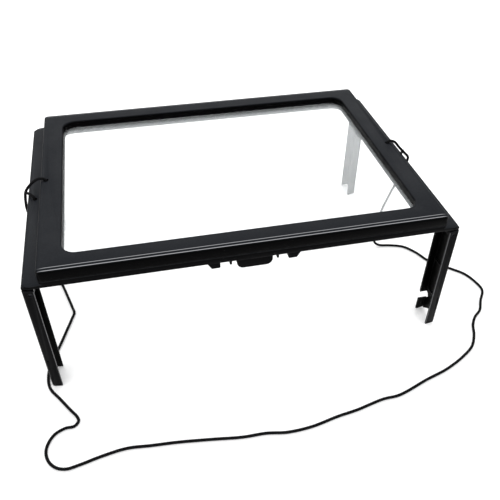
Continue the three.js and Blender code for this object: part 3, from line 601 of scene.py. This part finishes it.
RIGHT_CLIMB = [
    (150.4, -3, 1.2), (147.6, -2.6, 1.4), (144.6, -1.9, 2.1), (141.4, -0.9, 4.4), (140.2, 0, 9),
    (140.8, 1, 16), (144, 3, 36), (149.5, 1, 60), (154, -3.5, 82), (155, -6, 93.2),
]


def to_side(points, side):
    """The same points on the left (-1) or right (1) of the frame."""
    return [(side * x, y, z) for x, y, z in points]


def smooth_line(points, spacing):
    """A centripetal Catmull-Rom curve: between two points it is the cubic whose knots are spaced by
    the square root of the distance. It is sampled densely, then again at even steps of length."""
    p = np.array(points, float) * MM
    p = np.vstack([2 * p[0] - p[1], p, 2 * p[-1] - p[-2]])
    knots = np.concatenate([[0], np.cumsum(np.sqrt(np.linalg.norm(np.diff(p, axis=0), axis=1)))])
    u = np.linspace(0, 1, 60, endpoint=False)[None, :, None]
    p0, p1, p2, p3 = (p[k:len(p) - 3 + k, None, :] for k in range(4))
    t0, t1, t2, t3 = (knots[k:len(p) - 3 + k, None, None] for k in range(4))
    t = t1 + (t2 - t1) * u
    a1 = p0 * (t1 - t) / (t1 - t0) + p1 * (t - t0) / (t1 - t0)
    a2 = p1 * (t2 - t) / (t2 - t1) + p2 * (t - t1) / (t2 - t1)
    a3 = p2 * (t3 - t) / (t3 - t2) + p3 * (t - t2) / (t3 - t2)
    b1 = a1 * (t2 - t) / (t2 - t0) + a2 * (t - t0) / (t2 - t0)
    b2 = a2 * (t3 - t) / (t3 - t1) + a3 * (t - t1) / (t3 - t1)
    dense = (b1 * (t2 - t) / (t2 - t1) + b2 * (t - t1) / (t2 - t1)).reshape(-1, 3)
    dense = np.vstack([dense, p[-2]])
    along = np.concatenate([[0], np.cumsum(np.linalg.norm(np.diff(dense, axis=0), axis=1))])
    stations = np.linspace(0, along[-1], int(along[-1] / spacing) + 1)
    return np.column_stack([np.interp(stations, along, dense[:, k]) for k in range(3)])


table_route = [(x, y, TABLE_Z) for x, y in ON_TABLE]
whole_route = to_side(TIE_LEFT, -1)[::-1] + LEFT_HANG + table_route + RIGHT_CLIMB + TIE_RIGHT
cord_line = smooth_line(whole_route, CORD_STEP)
cord_line[:, 2] = np.maximum(cord_line[:, 2], TABLE_Z * MM)

# %% [markdown]
# A braid is strands that wind round a core in both directions and pass over and under each other.
# On the surface that is two sets of spiral ridges. Where a ridge of one set is high, the other set
# is low, so the height is the larger of two waves that turn opposite ways along the cord.

# %% Braided tube
CORD_SIDES = 20
STRANDS = 4
BRAID_PITCH = 7 * MM


def braided_tube(name, line, diameter):
    """Rings round the line, kept from twisting by carrying the last ring's direction along. A point
    at angle a and length s is at radius R (0.9 + 0.1 max(sin(n a + k s), sin(n a - k s)))."""
    tangent = np.gradient(line, axis=0)
    tangent /= np.linalg.norm(tangent, axis=1, keepdims=True)
    normal = np.empty_like(line)
    normal[0] = np.cross(tangent[0], (0.3, 0.9, 0.2))
    for i in range(1, len(line)):
        normal[i] = normal[i - 1] - tangent[i] * (normal[i - 1] @ tangent[i])
        normal[i] /= np.linalg.norm(normal[i])
    normal[0] /= np.linalg.norm(normal[0])
    side = np.cross(tangent, normal)
    angle = np.linspace(0, 2 * np.pi, CORD_SIDES, endpoint=False)[None, :]
    length = np.concatenate([[0], np.cumsum(np.linalg.norm(np.diff(line, axis=0), axis=1))])[:, None]
    turn = 2 * np.pi * STRANDS / BRAID_PITCH * length
    weave = np.maximum(np.sin(STRANDS * angle + turn), np.sin(STRANDS * angle - turn))
    radius = diameter / 2 * (0.9 + 0.1 * weave)[..., None]
    ring = normal[:, None] * np.cos(angle)[..., None] + side[:, None] * np.sin(angle)[..., None]
    points = line[:, None] + ring * radius
    first, last = range(CORD_SIDES), range((len(line) - 1) * CORD_SIDES, len(line) * CORD_SIDES)
    return put_mesh(name, points, grid_faces(len(line), CORD_SIDES)[:, ::-1], [first, list(last)[::-1]])


# %% [markdown]
# The yarn is matte polyester, dyed black. Single fibres stand out of it, so the surface has a very
# fine fuzz, which we give as bump and as a slight change of colour from strand to strand.

# %% Cord on the frame
yarn, yarn_shader = new_material("black_yarn", (0.004, 0.004, 0.0045), 0.85, gloss=0.1)
fibres = speckle(yarn, 0.25 * MM, 4.0)
lint = remap(yarn, fibres, 0.45, 0.75, 0, 1)
strand_color = blend_colors(yarn, lint, (0.002, 0.002, 0.0025), (0.008, 0.008, 0.009))
wire(yarn, strand_color, yarn_shader.inputs["Base Color"])
wire(yarn, remap(yarn, fibres, 0.3, 0.7, 0.75, 0.95), yarn_shader.inputs["Roughness"])
relief(yarn, yarn_shader, [(fibres, 0.06 * MM)])

neck_cord = braided_tube("neck_cord_braid", cord_line, CORD_DIAMETER)
for name, side in (("left", -1), ("right", 1)):
    tail_line = smooth_line(to_side(TAIL, side), TAIL_STEP)
    tail = braided_tube(f"cord_tail_{name}_braid", tail_line, CORD_DIAMETER)
    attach(tail, "frame")
    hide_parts(f"cord_tail_{name}")
    tail.data.materials.append(yarn)
    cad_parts[f"cord_knot_{name}"].data.materials.clear()
    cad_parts[f"cord_knot_{name}"].data.materials.append(yarn)
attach(neck_cord, "frame")
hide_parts("neck_cord", "cord_tie_left", "cord_tie_right")
neck_cord.data.materials.append(yarn)
print("cord faces", len(neck_cord.data.polygons))

# %% [markdown]
# ## The studio
# The magnifier stands on a white table. A broad soft light from behind gives the flat top its even
# sheen, a long strip above the front lights the rounded edges, and the white room fills the shadows.
# The table glows very faintly, so that it stays white where the magnifier keeps the light off it.

# %% Studio
ROOM_LIGHT = 0.85
TABLE_GLOW = 0.14


def area_light(name, place, aim, size, power):
    light = bpy.data.lights.new(name, "AREA")
    light.shape = "RECTANGLE"
    light.size, light.size_y = size
    light.energy = power
    lamp = bpy.data.objects.new(name, light)
    bpy.context.scene.collection.objects.link(lamp)
    lamp.location = place
    lamp.rotation_euler = (Vector(aim) - Vector(place)).to_track_quat("-Z", "Y").to_euler()


area_light("back_softbox", (0.1, 1.5, 1.5), (0, 0, 0.1), (2.4, 1.5), 34)
area_light("front_strip", (-0.1, -0.5, 1.5), (0, -0.1, 0.1), (2.4, 0.2), 10)
world = bpy.data.worlds.new("studio")
bpy.context.scene.world = world
world.use_nodes = True
world.node_tree.nodes["Background"].inputs["Color"].default_value = (1, 1, 1, 1)
world.node_tree.nodes["Background"].inputs["Strength"].default_value = ROOM_LIGHT
bpy.context.scene.view_settings.view_transform = "Standard"

table_white, table_shader = new_material("table_white", (0.9, 0.9, 0.9), 0.8, gloss=0.1)
tabletop = speckle(table_white, 80 * MM)
paper = blend_colors(table_white, tabletop, (0.9, 0.9, 0.9), (0.93, 0.93, 0.93))
wire(table_white, paper, table_shader.inputs["Base Color"])
table_shader.inputs["Emission Color"].default_value = (1, 1, 1, 1)
table_shader.inputs["Emission Strength"].default_value = TABLE_GLOW
floor_points = np.array([(-3, -3, 0), (3, -3, 0), (3, 3, 0), (-3, 3, 0)], float)
floor = put_mesh("floor", floor_points, np.array([(0, 1, 2, 3)]), smooth=False)
floor.data.materials.append(table_white)
